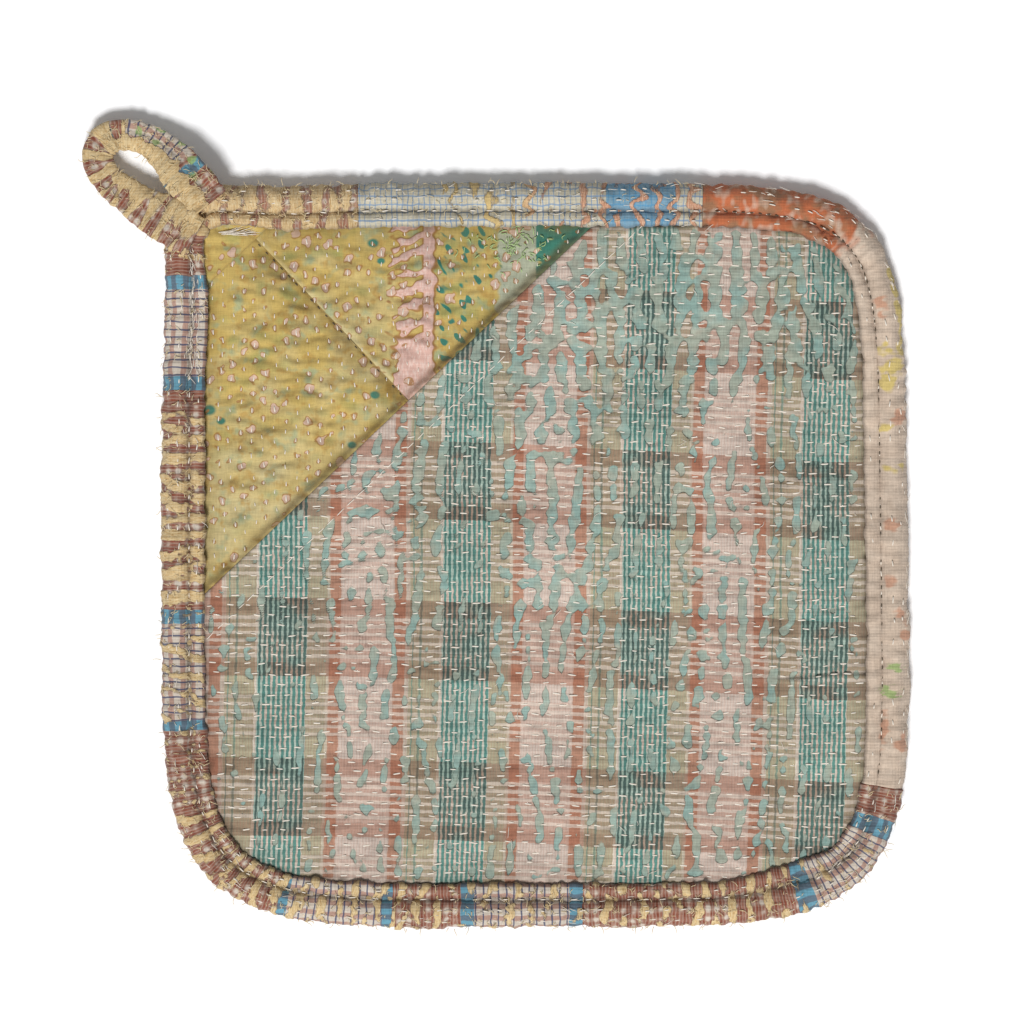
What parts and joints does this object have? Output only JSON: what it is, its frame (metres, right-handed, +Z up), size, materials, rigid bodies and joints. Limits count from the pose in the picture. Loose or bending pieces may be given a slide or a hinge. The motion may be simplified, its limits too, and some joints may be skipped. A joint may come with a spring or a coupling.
{
  "type": "pot holder",
  "caption": "Square quilted cotton pot holder with a diagonal hand pocket, pieced cloth binding and a hanging loop at one corner.",
  "frame": {"origin": "Under the middle of the pot holder's whole box, loop included, on the table that it lies on.", "axes": "+Z up from the table, +X to the right of the pad and +Y to its top as in the picture, with the loop at the -X +Y corner."},
  "size_m": [0.2218, 0.2172, 0.0111],
  "materials": {
    "plain_cotton_back": "plain faded grey-green cotton of the underside",
    "cotton_wadding": "undyed cotton wadding",
    "yellow_cotton_left": "worn golden cotton, quilted",
    "yellow_cotton_right": "worn golden cotton, quilted",
    "yellow_cotton_facing": "worn golden cotton",
    "plaid_cotton": "worn plaid of rust, pink cream, olive and teal, quilted with white running stitch",
    "madras_check_left": "check of brown, cream and blue with mustard",
    "madras_check_bottom": "check of brown, cream and blue with mustard",
    "beige_cotton": "beige cotton that turns orange at the top corner",
    "blue_cream_check": "blue and cream windowpane check",
    "mustard_check": "mustard and cream check",
    "loop_check": "mustard and brown check tape"
  },
  "bodies": {
    "root": {"back_panel": "plain_cotton_back", "batting": "cotton_wadding", "lining_left": "yellow_cotton_left", "lining_right": "yellow_cotton_right", "corner_facing": "yellow_cotton_facing", "pocket_panel": "plaid_cotton", "binding_left": "madras_check_left", "binding_bottom": "madras_check_bottom", "binding_right": "beige_cotton", "binding_top_check": "blue_cream_check", "binding_top_left": "mustard_check", "hanging_loop": "loop_check"}
  },
  "joints": []
}
